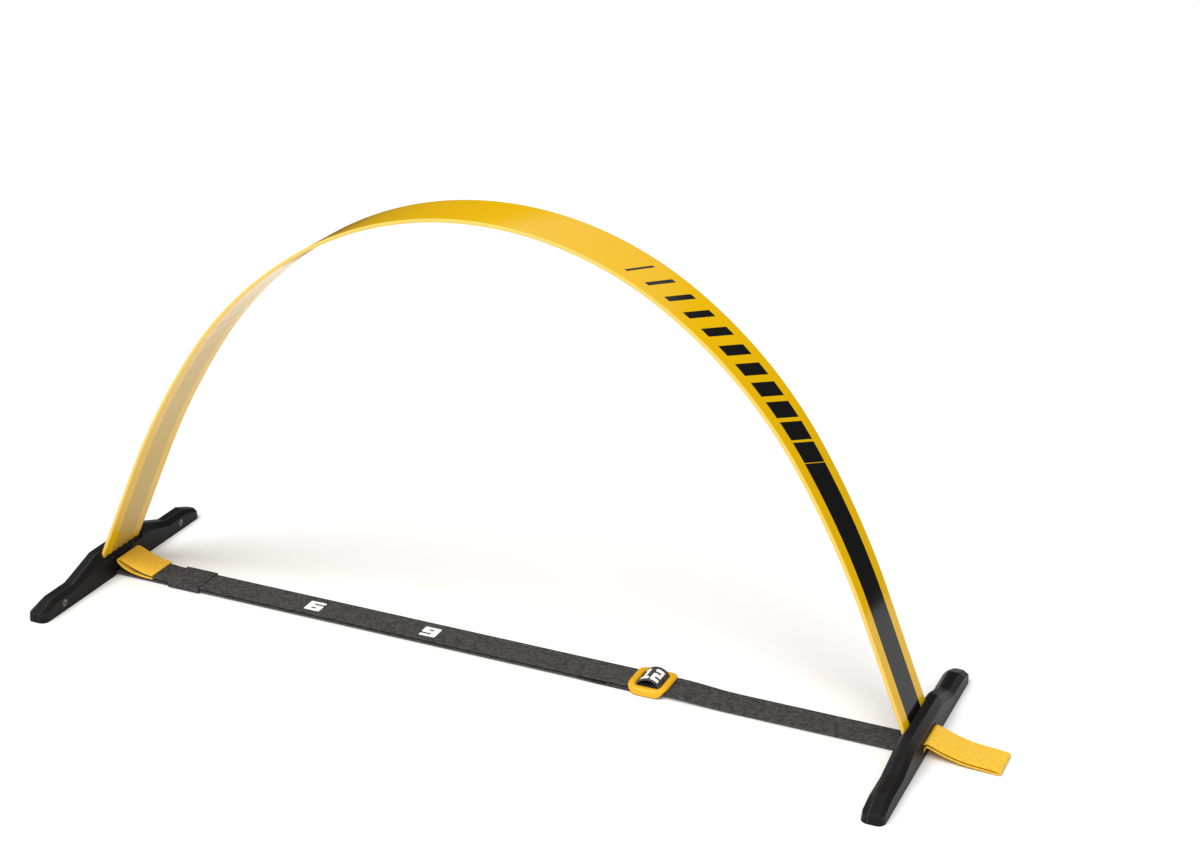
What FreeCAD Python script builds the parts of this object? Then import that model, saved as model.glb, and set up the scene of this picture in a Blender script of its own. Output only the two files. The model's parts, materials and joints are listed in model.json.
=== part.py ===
import FreeCAD, Part
import math
import os

# Training hurdle: a springy strip arched between two feet, whose span a strap and a slider buckle set.
# Millimetres. X runs along the span, Y across it and Z up. Shapes are made about the middle of the arch,
# and are moved at the end so that the origin is the middle of the whole part's box, on the floor.

Vector = FreeCAD.Vector
UP = Vector(0, 0, 1)
ACROSS = Vector(0, 1, 0)
ALONG = Vector(1, 0, 0)

# Arch strip, outer face radii and turns from the top down to one foot
arch_height = 304.8
low_arch_height = 152.4
strip_width = 48.0
strip_thickness = 2.4
crown_radius = 232.4
haunch_radius = 298.7
leg_radius = 574.0
crown_turn = 32.7
haunch_turn = 23.7
leg_turn = 10.6

# Lines across the strip at which it flexes: one beside the top, one where the crown's arc ends
crown_flex_angle = 10.0
crown_flex_share = 0.4
flex_gap = 0.2
lean_tolerance = 0.0001

# Pivot rod on each end of the strip
pivot_height = 14.0
pivot_inset = 1.5
rod_radius = 3.5
rod_overhang = 1.0
rod_seat = 1.0
rod_clearance = 0.05
rod_end_clearance = 0.3

# Foot moulding
foot_length = 204.0
foot_half_width = 7.5
foot_height = 23.0
shoulder_height = 12.5
tip_height = 6.5
top_corner_y = 30.0
inner_crease_y = 60.5
outer_crease_y = 85.0
nose_corner_radius = 5.0
nose_steps = 4
draft_angle = 4.0
bevel_width = 3.3
bevel_height_share = 0.27
cover_depth = 5.0

# Slot of the foot, in which the strip leans, and the teeth beside it
slot_side_clearance = 0.8
slot_back_clearance = 0.35
slot_front_clearance = 0.4
rim_height = 14.2
rim_depth = 1.9
tooth_count = 7
tooth_pitch = 7.0
tooth_width = 3.4
tooth_height = 3.2

# Screws that hold the cover
screw_y = 76.0
screw_z = 5.2
screw_radius = 1.45
screw_head_radius = 2.6
screw_head_height = 1.7
screw_length = 9.5
screw_recess = 0.3
screw_clearance = 0.15
screw_cross_length = 2.8
screw_cross_width = 0.7
screw_cross_depth = 0.9

# Webbing
webbing_thickness = 1.0
strap_width = 25.0
tab_width = 26.5
tab_layers = 3
floor_gap = 0.2
layer_gap = 0.1
slide_gap = 0.2
fold_radius = 1.6
bend_radius = 30.0
wrap_bend_radius = 7.0

# Strap tunnel through the foot and its outer mouth
tunnel_side_clearance = 0.5
tunnel_gap = 0.3
mouth_side_clearance = 0.8
mouth_floor = 1.0
mouth_lip_height = 4.5
mouth_top = 12.5
mouth_back_height = 7.6
mouth_back_u = 0.2
mouth_lip_u = 6.1

# Strap bar in the left foot
bar_radius = 1.5
bar_seat = 1.2
bar_u = 3.2
bar_clearance = 0.05

# Slider buckle
buckle_x = 119.5
buckle_length = 27.0
buckle_width = 32.0
buckle_corner_radius = 5.5
buckle_rail = 5.0
buckle_rail_height = 2.6
buckle_cheek = 3.0
buckle_edge_radius = 1.1
buckle_bar_half = 3.0
buckle_bar_height = 0.8
buckle_foot_half = 7.0

# Strap stations along X
anchor_drop_x = 68.0
anchor_drop_run = 16.0
anchor_fold_end_x = 92.0
anchor_fold_run = 9.0
strap_drop_x = 142.0
strap_drop_run = 26.0
keeper_x = -231.0
keeper_length = 25.0
keeper_side_gap = 0.5
keeper_corner_radius = 1.0
pull_tab_start_x = -250.0
pull_tab_open_x = -257.5
pull_tab_fold_x = -284.0
pull_tab_fold_z = 11.5
pull_tab_end_gap = 4.0

# Foot tab outside the right foot, as distances from the foot's middle and heights
foot_tab_crest_u = 6.6
foot_tab_crest_z = 9.2
foot_tab_slope_u = 16.0
foot_tab_slope_z = 5.6
foot_tab_run_u = 30.0
foot_tab_run_z = 3.0
foot_tab_end_u = 53.0
foot_tab_crest_radius = 4.0
foot_tab_rise_u = 0.6
foot_tab_open_share = 0.25
strap_end_share = 0.62
strap_fold_share = 0.45

overrun = 60.0

# Heights of the webbing layers, to the middle of each, and sizes that follow from them
floor_level = floor_gap + webbing_thickness / 2
anchor_level = floor_level + webbing_thickness + layer_gap
fold_end_level = floor_level + webbing_thickness + layer_gap
buckle_bar_z = floor_gap + webbing_thickness
wrap_high_level = buckle_bar_z + buckle_bar_height + webbing_thickness / 2
strap_level = wrap_high_level + webbing_thickness / 2 + slide_gap + webbing_thickness / 2
rail_z = strap_level + webbing_thickness / 2 + slide_gap
tab_thickness = tab_layers * webbing_thickness
rod_length = strip_width + 2 * rod_overhang
mouth_width = tab_width + 2 * mouth_side_clearance
bar_length = mouth_width + 2 * bar_seat
bar_reach = bar_radius + bar_clearance + webbing_thickness / 2
bar_z = anchor_level + bar_reach


def radial(angle):
    """Direction that leans outwards from upright by an angle in degrees."""
    turn = math.radians(angle)
    return Vector(math.sin(turn), 0, math.cos(turn))


def downhill(angle):
    """Direction along the strip towards the foot, where it has turned by an angle in degrees."""
    turn = math.radians(angle)
    return Vector(math.cos(turn), 0, -math.sin(turn))


def arch_arcs():
    """Arcs of the strip's outer face, from the top to the right foot: centre, radius and end angles."""
    arcs = []
    angle = 0
    centre = UP * (arch_height - crown_radius)
    last_radius = crown_radius
    for radius, turn in ((crown_radius, crown_turn), (haunch_radius, haunch_turn), (leg_radius, leg_turn)):
        centre = centre - radial(angle) * (radius - last_radius)
        arcs.append((centre, radius, angle, angle + turn))
        angle = angle + turn
        last_radius = radius
    return arcs


lean_angle = crown_turn + haunch_turn + leg_turn
foot_arc = arch_arcs()[-1]
strip_foot_point = foot_arc[0] + radial(lean_angle) * (foot_arc[1] - strip_thickness / 2)
straight_run = (strip_foot_point.z - pivot_height) / math.sin(math.radians(lean_angle))
pivot = strip_foot_point + downhill(lean_angle) * straight_run
foot_mid = pivot.x + pivot_inset
crown_centre = arch_arcs()[0][0]
crown_flex = crown_centre + radial(crown_flex_angle) * crown_radius
leg_flex = crown_centre + radial(crown_turn) * crown_radius
flex_gap_angle = math.degrees(flex_gap / crown_radius)


def half_chain(lean):
    """Way from the right rod up to the crown's flex line when the legs have turned by an angle."""
    leg = FreeCAD.Rotation(ACROSS, -lean).multVec(leg_flex - pivot)
    shoulder = FreeCAD.Rotation(ACROSS, -lean * crown_flex_share).multVec(crown_flex - leg_flex)
    return leg + shoulder


def lean_at(height):
    """Turn of the legs that lowers the top of the arch to a height, found by halving."""
    least, most = 0, 90
    while most - least > lean_tolerance:
        lean = (least + most) / 2
        if arch_height + half_chain(lean).z - half_chain(0).z > height:
            least = lean
        else:
            most = lean
    return least


lean_travel = lean_at(low_arch_height)


def arc_edge(centre, radius, first, last):
    """Arc of a circle between two angles from upright."""
    points = [centre + radial(angle) * radius for angle in (first, (first + last) / 2, last)]
    return Part.Arc(*points).toShape()


def crosswise(edges, width):
    """Solid made by drawing a closed outline in the XZ plane across a width about its middle."""
    face = Part.Face(Part.Wire(Part.__sortEdges__(edges)))
    face.translate(ACROSS * (-width / 2))
    return face.extrude(ACROSS * width)


def polygon_across(points, width):
    """Straight-sided prism across a width from points given as X and Z."""
    corners = [Vector(x, 0, z) for x, z in points]
    return crosswise(Part.makePolygon(corners + corners[:1]).Edges, width)


def strip_band(arcs, run):
    """Length of strip along arcs of its outer face, with a straight run at its lower end."""
    edges = []
    for centre, radius, first, last in arcs:
        edges.append(arc_edge(centre, radius, first, last))
        edges.append(arc_edge(centre, radius - strip_thickness, first, last))
    centre, radius, first, last = arcs[0]
    start = centre + radial(first) * radius
    edges.append(Part.makeLine(start, start - radial(first) * strip_thickness))
    centre, radius, first, last = arcs[-1]
    end = centre + radial(last) * radius
    inwards = radial(last) * strip_thickness
    if run > 0:
        lower = end + downhill(last) * run
        edges.append(Part.makeLine(end, lower))
        edges.append(Part.makeLine(end - inwards, lower - inwards))
        end = lower
    edges.append(Part.makeLine(end, end - inwards))
    return crosswise(edges, strip_width)


def crown_strip():
    """Middle of the strip, between the flex lines beside its top."""
    return strip_band([(crown_centre, crown_radius, -crown_flex_angle, crown_flex_angle)], 0)


def shoulder_strip():
    """Right shoulder of the strip, between its two flex lines."""
    return strip_band([(crown_centre, crown_radius, crown_flex_angle + flex_gap_angle, crown_turn)], 0)


def leg_strip():
    """Right leg of the strip, from its flex line to its end in the pivot rod."""
    centre, radius, first, last = arch_arcs()[1]
    upper_arc = (centre, radius, first + flex_gap_angle, last)
    return strip_band([upper_arc, foot_arc], straight_run + rod_seat)


def rod_cylinder(radius, length):
    """Cylinder about the right pivot's axis."""
    start = pivot - ACROSS * (length / 2)
    return Part.makeCylinder(radius, length, start, ACROSS)


def pivot_rod():
    """Rod that holds the strip's end in a slot and turns in the foot."""
    return rod_cylinder(rod_radius, rod_length).cut(leg_strip())


def foot_section(y, half_width, height):
    """Cross-section of the foot: drafted sides, bevelled top edges."""
    side_height = height * (1 - bevel_height_share)
    side_half = half_width - side_height * math.tan(math.radians(draft_angle))
    top_half = side_half - bevel_width * half_width / foot_half_width
    outline = [(-half_width, 0), (half_width, 0), (side_half, side_height),
               (top_half, height), (-top_half, height), (-side_half, side_height)]
    corners = [Vector(foot_mid + across, y, up) for across, up in outline]
    return Part.makePolygon(corners + corners[:1])


def nose_stations():
    """Places, half widths and heights of the sections round one end of the foot."""
    stations = []
    slope = (shoulder_height - tip_height) / (foot_length / 2 - outer_crease_y)
    for step in range(nose_steps + 1):
        turn = math.radians(90 * step / nose_steps)
        inset = nose_corner_radius * (1 - math.sin(turn))
        narrowing = nose_corner_radius * (1 - math.cos(turn))
        height = tip_height + slope * narrowing
        stations.append((foot_length / 2 - narrowing, foot_half_width - inset, height))
    return stations


def foot_blank():
    """Whole outer form of the foot, before it is parted and cut."""
    half = nose_stations() + [(outer_crease_y, foot_half_width, shoulder_height),
                              (inner_crease_y, foot_half_width, shoulder_height),
                              (top_corner_y, foot_half_width, foot_height)]
    far_half = [(-y, half_width, height) for y, half_width, height in half]
    stations = far_half + half[::-1]
    return Part.makeLoft([foot_section(*station) for station in stations], True, True)


def strip_slot(back_clearance):
    """Space in which the strip stands and leans, from the full height to the low height of the arch."""
    standing = radial(lean_angle) * (strip_thickness / 2 + back_clearance)
    lowered = radial(lean_angle - lean_travel) * (-strip_thickness / 2 - slot_front_clearance)
    standing_end = standing - downhill(lean_angle) * overrun
    lowered_end = lowered - downhill(lean_angle - lean_travel) * overrun
    outline = [pivot + offset for offset in (standing, standing_end, lowered_end, lowered)]
    return polygon_across([(point.x, point.z) for point in outline], strip_width + 2 * slot_side_clearance)


def strap_tunnel():
    """Low way through the foot for the strap, from its inner face to the mouth."""
    height = webbing_thickness + 2 * tunnel_gap
    width = strap_width + 2 * tunnel_side_clearance
    corner = Vector(foot_mid - overrun, -width / 2, anchor_level - height / 2)
    return Part.makeBox(overrun + mouth_back_u, width, height, corner)


def strap_mouth():
    """Hollow behind the foot's outer face, where the strap's end is held."""
    outline = [(mouth_back_u, mouth_floor), (mouth_lip_u, mouth_floor), (mouth_lip_u, mouth_lip_height),
               (overrun, mouth_lip_height), (overrun, mouth_top), (mouth_lip_u, mouth_top),
               (mouth_back_u, mouth_back_height)]
    points = [(foot_mid + across, up) for across, up in outline]
    return polygon_across(points, mouth_width)


def bar_cylinder(radius, length):
    """Cylinder about the strap bar's place in the foot."""
    start = Vector(foot_mid + bar_u, -length / 2, bar_z)
    return Part.makeCylinder(radius, length, start, ACROSS)


def cover_face_u(z):
    """Distance of the cover's sloping outer face from the foot's middle at a height."""
    return -foot_half_width + z * math.tan(math.radians(draft_angle))


def screw(y, grow):
    """Cover screw, or the hole for it when it is grown by a clearance."""
    head_u = cover_face_u(screw_z) + screw_recess
    start = Vector(foot_mid + head_u, y, screw_z)
    head = Part.makeCylinder(screw_head_radius + grow, screw_head_height, start, ALONG)
    shank = Part.makeCylinder(screw_radius + grow, screw_length, start, ALONG)
    return head.fuse(shank)


def screw_hole(y):
    """Way for a cover screw, open to the cover's outer face."""
    mouth_start = Vector(foot_mid + cover_face_u(screw_z) - overrun, y, screw_z)
    mouth_length = overrun + screw_recess
    mouth = Part.makeCylinder(screw_head_radius + screw_clearance, mouth_length, mouth_start, ALONG)
    return screw(y, screw_clearance).fuse(mouth)


def cover_screw(y):
    """Screw with a cross recess in its head."""
    blank = screw(y, 0)
    start_x = foot_mid + cover_face_u(screw_z) + screw_recess
    long_half = screw_cross_length / 2
    thin_half = screw_cross_width / 2
    upright = Part.makeBox(screw_cross_depth, screw_cross_width, screw_cross_length,
                           Vector(start_x, y - thin_half, screw_z - long_half))
    level = Part.makeBox(screw_cross_depth, screw_cross_length, screw_cross_width,
                         Vector(start_x, y - long_half, screw_z - thin_half))
    return blank.cut(upright).cut(level)


def teeth_gaps():
    """Cuts that leave a row of teeth along the slot's inner side, behind a thin rim."""
    slot_width = strip_width + 2 * slot_side_clearance
    rim_start = Vector(foot_mid - overrun, -slot_width / 2, rim_height)
    rim_end_u = -foot_half_width + rim_depth
    cuts = [Part.makeBox(overrun + rim_end_u, slot_width, overrun, rim_start)]
    gap_width = tooth_pitch - tooth_width
    gap_depth = -rim_end_u
    gap_floor = rim_height + slot_front_clearance - tooth_height
    for index in range(1, tooth_count):
        middle = (index - tooth_count / 2) * tooth_pitch
        corner = Vector(foot_mid + rim_end_u, middle - gap_width / 2, gap_floor)
        cuts.append(Part.makeBox(gap_depth, gap_width, overrun, corner))
    return cuts


def foot_cuts():
    """Cuts that the body and the cover share."""
    channel = rod_cylinder(rod_radius + rod_clearance, rod_length + 2 * rod_end_clearance)
    bar_sockets = bar_cylinder(bar_radius + bar_clearance, bar_length + 2 * bar_clearance)
    cuts = [channel, strap_tunnel(), strap_mouth(), bar_sockets]
    for y in (-screw_y, screw_y):
        cuts.append(screw_hole(y))
    return cuts


def foot_side(inner):
    """The inner cover or the outer body: the blank on one side of the parting face, with its cuts."""
    parting_x = foot_mid - foot_half_width + cover_depth
    start_x = parting_x - overrun if inner else parting_x
    keep = Part.makeBox(overrun, foot_length, foot_height, Vector(start_x, -foot_length / 2, 0))
    side = foot_blank().common(keep)
    if inner:
        own_cuts = teeth_gaps() + [strip_slot(foot_half_width)]
    else:
        own_cuts = [strip_slot(slot_back_clearance)]
    for cut in foot_cuts() + own_cuts:
        side = side.cut(cut)
    return side


def left_normal(start, end):
    """Unit direction to the left of a run in the XZ plane."""
    run = (end - start).normalize()
    return Vector(-run.z, 0, run.x)


def shifted_path(points, shift):
    """Corner points of a path moved sideways by a distance."""
    normals = [left_normal(start, end) for start, end in zip(points, points[1:])]
    moved = [points[0] + normals[0] * shift]
    for point, before, after in zip(points[1:], normals, normals[1:]):
        moved.append(point + (before + after) * (shift / (1 + before.dot(after))))
    moved.append(points[-1] + normals[-1] * shift)
    return moved


def rounded_path(points, radii):
    """Edges along a path whose corners are rounded, each by its own radius."""
    edges = []
    last = points[0]
    for before, corner, after, radius in zip(points, points[1:], points[2:], radii):
        run_in = (corner - before).normalize()
        run_out = (after - corner).normalize()
        half_turn = run_in.getAngle(run_out) / 2
        inset = radius * math.tan(half_turn)
        start = corner - run_in * inset
        end = corner + run_out * inset
        inwards = (run_out - run_in).normalize()
        middle = corner + inwards * (radius / math.cos(half_turn) - radius)
        edges.append(Part.makeLine(last, start))
        edges.append(Part.Arc(start, middle, end).toShape())
        last = end
    edges.append(Part.makeLine(last, points[-1]))
    return edges


def ribbon(path, radii, thickness, width):
    """Flat webbing or a fold of it, along a path of X and Z with rounded corners."""
    points = [Vector(x, 0, z) for x, z in path]
    sides = []
    for shift in (thickness / 2, -thickness / 2):
        side_radii = []
        for before, corner, after, radius in zip(points, points[1:], points[2:], radii):
            turns_left = (corner - before).cross(after - corner).y < 0
            side_radii.append(radius - shift if turns_left else radius + shift)
        sides.append(rounded_path(shifted_path(points, shift), side_radii))
    ends = []
    for end in (0, -1):
        corners = [side[end].Vertexes[end].Point for side in sides]
        ends.append(Part.makeLine(*corners))
    return crosswise(sides[0] + sides[1] + ends, width)


def anchor_loop_path():
    """End of the anchor strap round the bar in the left foot, from its tip to the foot's inner side."""
    inner_x = -foot_mid - bar_u + bar_reach
    outer_x = -foot_mid - bar_u - bar_reach
    top_z = bar_z + bar_reach
    tip_z = anchor_level + webbing_thickness + layer_gap
    return [(inner_x, tip_z), (inner_x, top_z), (outer_x, top_z), (outer_x, anchor_level)]


def anchor_strap():
    """Lower strap: looped round the bar in the left foot, and folded round the buckle's bar."""
    fold_x = buckle_x + buckle_bar_half + webbing_thickness
    path = anchor_loop_path() + [
        (anchor_drop_x, anchor_level),
        (anchor_drop_x + anchor_drop_run, floor_level),
        (fold_x, floor_level),
        (fold_x, wrap_high_level),
        (buckle_x - buckle_bar_half - webbing_thickness, wrap_high_level),
        (buckle_x - buckle_bar_half - webbing_thickness - anchor_fold_run, fold_end_level),
        (anchor_fold_end_x, fold_end_level),
    ]
    turn_radius = (wrap_high_level - floor_level) * strap_fold_share
    radii = [fold_radius] * 3 + [bend_radius] * 2 + [turn_radius] * 2 + [wrap_bend_radius] * 2
    return ribbon(path, radii, webbing_thickness, strap_width)


def strap_rise():
    """Slope of the adjusting strap's end inside the right foot: its foot and its crest."""
    low = Vector(foot_mid + foot_tab_rise_u, 0, anchor_level)
    crest = Vector(foot_mid + foot_tab_crest_u, 0, foot_tab_crest_z)
    return low, crest


def pull_tab_slope(inset):
    """Point on the pull tab's slope, a distance in X from its fold."""
    share = inset / (pull_tab_start_x - pull_tab_fold_x)
    return (pull_tab_fold_x + inset, pull_tab_fold_z + (strap_level - pull_tab_fold_z) * share)


def adjusting_strap():
    """Upper strap: from its end in the pull tab, through the buckle, to its end in the right foot."""
    low, crest = strap_rise()
    end = low + (crest - low) * strap_end_share
    path = [pull_tab_slope(pull_tab_end_gap), (pull_tab_start_x, strap_level), (strap_drop_x, strap_level),
            (strap_drop_x + strap_drop_run, anchor_level), (low.x, low.z), (end.x, end.z)]
    radii = [bend_radius] * 3 + [fold_radius]
    return ribbon(path, radii, webbing_thickness, strap_width)


def folded_end(x, z):
    """Round back of a fold of webbing."""
    start = Vector(x, -tab_width / 2, z)
    return Part.makeCylinder(tab_thickness / 2, tab_width, start, ACROSS)


def pull_tab():
    """Yellow webbing folded over the adjusting strap's end, open towards the keeper."""
    fold = (pull_tab_fold_x, pull_tab_fold_z)
    open_end = pull_tab_slope(pull_tab_open_x - pull_tab_fold_x)
    tab = ribbon([fold, open_end], [], tab_thickness, tab_width).fuse(folded_end(*fold))
    gap_path = [pull_tab_slope(webbing_thickness / 2), pull_tab_slope(pull_tab_start_x - pull_tab_fold_x)]
    return tab.cut(ribbon(gap_path, [], webbing_thickness, tab_width + overrun))


def foot_tab():
    """Yellow webbing folded over the strap's end in the right foot, lying out on the floor."""
    low, crest = strap_rise()
    open_end = low + (crest - low) * foot_tab_open_share
    end_z = floor_gap + tab_thickness / 2
    route = [(foot_mid + foot_tab_slope_u, foot_tab_slope_z), (foot_mid + foot_tab_run_u, foot_tab_run_z),
             (foot_mid + foot_tab_end_u, end_z)]
    radii = [foot_tab_crest_radius, bend_radius, bend_radius]
    tab = ribbon([(open_end.x, open_end.z), (crest.x, crest.z)] + route, radii, tab_thickness, tab_width)
    gap_end = (route[-1][0] - webbing_thickness / 2, end_z)
    gap_path = [(low.x, low.z), (crest.x, crest.z)] + route[:-1] + [gap_end]
    gap = ribbon(gap_path, radii, webbing_thickness, tab_width + overrun)
    return tab.fuse(folded_end(*route[-1])).cut(gap)


def edges_along(box, direction):
    """Edges of a box that run in a direction."""
    return [edge for edge in box.Edges if edge.tangentAt(edge.FirstParameter).cross(direction).Length == 0]


def strap_keeper():
    """Webbing sleeve round both straps, sewn to the upper one."""
    inner_width = strap_width + 2 * keeper_side_gap
    inner_low = floor_level + webbing_thickness / 2
    inner_high = strap_level + webbing_thickness / 2
    outer_width = inner_width + 2 * webbing_thickness
    outer_height = inner_high - inner_low + 2 * webbing_thickness
    corner = Vector(keeper_x - keeper_length / 2, -outer_width / 2, inner_low - webbing_thickness)
    sleeve = Part.makeBox(keeper_length, outer_width, outer_height, corner)
    sleeve = sleeve.makeFillet(keeper_corner_radius, edges_along(sleeve, ALONG))
    hollow_corner = Vector(keeper_x - overrun / 2, -inner_width / 2, inner_low)
    return sleeve.cut(Part.makeBox(overrun, inner_width, inner_high - inner_low, hollow_corner))


def rounded_plate(length, width, corner_radius, z, height):
    """Plate about the buckle's middle with rounded corners."""
    corner = Vector(buckle_x - length / 2, -width / 2, z)
    plate = Part.makeBox(length, width, height, corner)
    return plate.makeFillet(corner_radius, edges_along(plate, UP))


def buckle():
    """Slider: a rounded frame over the strap, with cheeks down to a bar under it."""
    window_width = buckle_width - 2 * buckle_cheek
    window_length = buckle_length - 2 * buckle_rail
    frame = rounded_plate(buckle_length, buckle_width, buckle_corner_radius, rail_z, buckle_rail_height)
    frame = frame.makeFillet(buckle_edge_radius, frame.Edges)
    window = rounded_plate(window_length, window_width, buckle_edge_radius, 0, overrun)
    cheek_top = rail_z + buckle_rail_height / 2
    rail_half = buckle_length / 2 - buckle_corner_radius
    cheek_outline = [(buckle_x - buckle_foot_half, floor_gap), (buckle_x + buckle_foot_half, floor_gap),
                     (buckle_x + rail_half, rail_z), (buckle_x + rail_half, cheek_top),
                     (buckle_x - rail_half, cheek_top), (buckle_x - rail_half, rail_z)]
    cheeks = polygon_across(cheek_outline, buckle_width - buckle_edge_radius)
    way_corner = Vector(buckle_x - overrun / 2, -window_width / 2, 0)
    strap_way = Part.makeBox(overrun, window_width, overrun, way_corner)
    bar_corner = Vector(buckle_x - buckle_bar_half, -window_width / 2, buckle_bar_z)
    bar = Part.makeBox(2 * buckle_bar_half, window_width, buckle_bar_height, bar_corner)
    return frame.cut(window).fuse(cheeks.cut(strap_way)).fuse(bar).removeSplitter()


def turned(shape):
    """The same piece on the other end of the hurdle."""
    copy = shape.copy()
    copy.rotate(Vector(0, 0, 0), UP, 180)
    return copy


def pieces():
    """Every piece by its name, placed about the middle of the arch."""
    made = {"strip_crown": crown_strip()}
    paired = {"strip_shoulder": shoulder_strip(), "strip_leg": leg_strip(), "pivot_rod": pivot_rod(),
              "foot_body": foot_side(False), "foot_cover": foot_side(True)}
    for name, shape in paired.items():
        made["right_" + name] = shape
        made["left_" + name] = turned(shape)
    for name, y in (("foot_front_screw", -screw_y), ("foot_rear_screw", screw_y)):
        made["right_" + name] = cover_screw(y)
        made["left_" + name] = turned(cover_screw(-y))
    made["left_strap_bar"] = turned(bar_cylinder(bar_radius, bar_length))
    made["anchor_strap"] = anchor_strap()
    made["buckle"] = buckle()
    made["adjusting_strap"] = adjusting_strap()
    made["strap_keeper"] = strap_keeper()
    made["pull_tab"] = pull_tab()
    made["foot_tab"] = foot_tab()
    return made


def main():
    os.makedirs("parts", exist_ok=True)
    made = pieces()
    whole = Part.makeCompound(list(made.values())).BoundBox
    shift = ALONG * (-whole.Center.x)
    for name, shape in made.items():
        shape.translate(shift)
        shape.exportStep("parts/" + name + ".step")
    print("shift", shift.x, "pivot", pivot, "flex points", crown_flex, leg_flex, "lean travel", lean_travel)


main()
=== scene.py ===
import json
import math
from collections import namedtuple

import bmesh
import bpy
from mathutils import Matrix, Vector


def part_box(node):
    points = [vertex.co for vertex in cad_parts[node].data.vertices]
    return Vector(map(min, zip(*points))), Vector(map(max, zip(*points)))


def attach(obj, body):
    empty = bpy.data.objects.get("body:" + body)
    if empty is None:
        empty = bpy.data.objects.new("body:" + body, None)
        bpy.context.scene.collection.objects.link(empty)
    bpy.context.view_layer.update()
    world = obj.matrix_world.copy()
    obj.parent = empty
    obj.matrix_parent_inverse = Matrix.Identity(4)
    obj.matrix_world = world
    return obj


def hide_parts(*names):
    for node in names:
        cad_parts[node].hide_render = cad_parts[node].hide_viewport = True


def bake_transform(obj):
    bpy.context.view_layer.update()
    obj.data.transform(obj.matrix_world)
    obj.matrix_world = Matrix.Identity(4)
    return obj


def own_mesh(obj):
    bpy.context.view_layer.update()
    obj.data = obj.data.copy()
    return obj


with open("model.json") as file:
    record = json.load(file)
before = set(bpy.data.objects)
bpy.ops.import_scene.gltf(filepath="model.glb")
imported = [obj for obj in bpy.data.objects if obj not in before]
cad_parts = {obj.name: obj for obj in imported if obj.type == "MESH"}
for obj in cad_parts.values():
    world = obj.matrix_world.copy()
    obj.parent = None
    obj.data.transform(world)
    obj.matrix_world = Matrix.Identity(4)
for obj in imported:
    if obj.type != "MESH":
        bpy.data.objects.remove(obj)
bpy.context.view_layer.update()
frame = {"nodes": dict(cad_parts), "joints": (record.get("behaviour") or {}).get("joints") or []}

bl_info = {
    "name": "Speed hurdle",
    "version": (1, 0, 0),
    "blender": (4, 5, 0),
    "location": "View3D > Sidebar > Hurdle",
    "description": "Dresses a low training hurdle: printed strip, feet, straps, buckle, tabs and studio",
    "category": "Object",
}

# Places that the frame gives
joint_points = {joint["name"]: Vector(joint["pos_m"]) for joint in frame["joints"]}
crown_low, crown_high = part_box("strip_crown")
buckle_low, buckle_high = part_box("buckle")
keeper_low, keeper_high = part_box("strap_keeper")
strap_low, strap_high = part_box("adjusting_strap")
tab_low, tab_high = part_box("foot_tab")
bar_low, bar_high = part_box("left_strap_bar")
arch_x = (crown_low.x + crown_high.x) / 2
buckle_x = (buckle_low.x + buckle_high.x) / 2
keeper_x = (keeper_low.x + keeper_high.x) / 2
keeper_half = (keeper_high - keeper_low) / 2
full_turn = 2 * math.pi
quarter_turn = math.pi / 2
up = Vector((0, 0, 1))
across_axis = Vector((0, 1, 0))
along_axis = Vector((1, 0, 0))
corner_signs = ((-1, -1), (1, -1), (1, 1), (-1, 1))

# Strip: arcs of its outer face from the top down to a foot, as radius and turn in degrees
strip_arcs = ((0.2324, 32.7), (0.2987, 23.7), (0.574, 10.6))
strip_half_width = (crown_high.y - crown_low.y) / 2
strip_thickness = 0.0024
strip_edge_radius = 0.0007
strip_step = 0.003
edge_margin = 0.0008
corner_steps = 3
strip_columns = 2
dash_slant = 0.352

# Lengths from the top at which the strip's upper bend gives way to its lower bend, and at which that ends
bend_change = 0.11
lower_bend_end = 0.404

# Webbing: sizes, levels of its middle, and stations from the arch's middle
webbing_thickness = 0.001
webbing_edge = 0.0004
webbing_step = 0.0025
webbing_columns = 4
fold_steps = 8
weld_distance = 0.00001
floor_level = 0.0007
foot_level = 0.0018
wrap_level = 0.0025
strap_level = 0.0037
strap_half_width = (strap_high.y - strap_low.y) / 2
tab_half_width = (tab_high.y - tab_low.y) / 2
strap_top = strap_level + webbing_thickness / 2
bar_reach = (bar_high.x - bar_low.x) / 2 + webbing_thickness / 2
strap_bend_reach = 0.008
fold_reach = 0.0018
pull_tab_start = -0.25
pull_strap_bend = (-0.262, 0.005)
pull_strap_end = (-0.2755, 0.0083)
strap_drop = (0.142, 0.168)
anchor_drop = (0.068, 0.084)
anchor_fold_half = 0.004
anchor_fold_end = (-0.013, -0.0275)
foot_rise = (0.0006, 0.0043)
foot_rise_level = 0.0064
pivot_inset = 0.0015
foot_middle = joint_points["right_foot_pivot"].x - arch_x + pivot_inset

# Tabs: corners of their folded routes as X and height, from the arch's middle and from the right foot's
pull_tab_route = [
    (-0.2570, 0.0056), (-0.264, 0.0065), (-0.273, 0.0089), (-0.280, 0.0118), (-0.2855, 0.0136),
    (-0.2868, 0.0112), (-0.282, 0.0074), (-0.275, 0.0048), (-0.266, 0.0035), (-0.2573, 0.0033),
]
pull_tab_ease = 0.003
pull_seam = (-0.261, 0.0066)
pull_seam_inset = 0.0012
foot_tab_route = [
    (0.0044, 0.0050), (0.0064, 0.0103), (0.0092, 0.0112), (0.018, 0.0076), (0.031, 0.0044), (0.0535, 0.0028),
    (0.0546, 0.0017), (0.0535, 0.0008), (0.031, 0.0022), (0.018, 0.0054), (0.0090, 0.0088), (0.0078, 0.0082),
    (0.0064, 0.0042),
]
foot_tab_ease = 0.005

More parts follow.
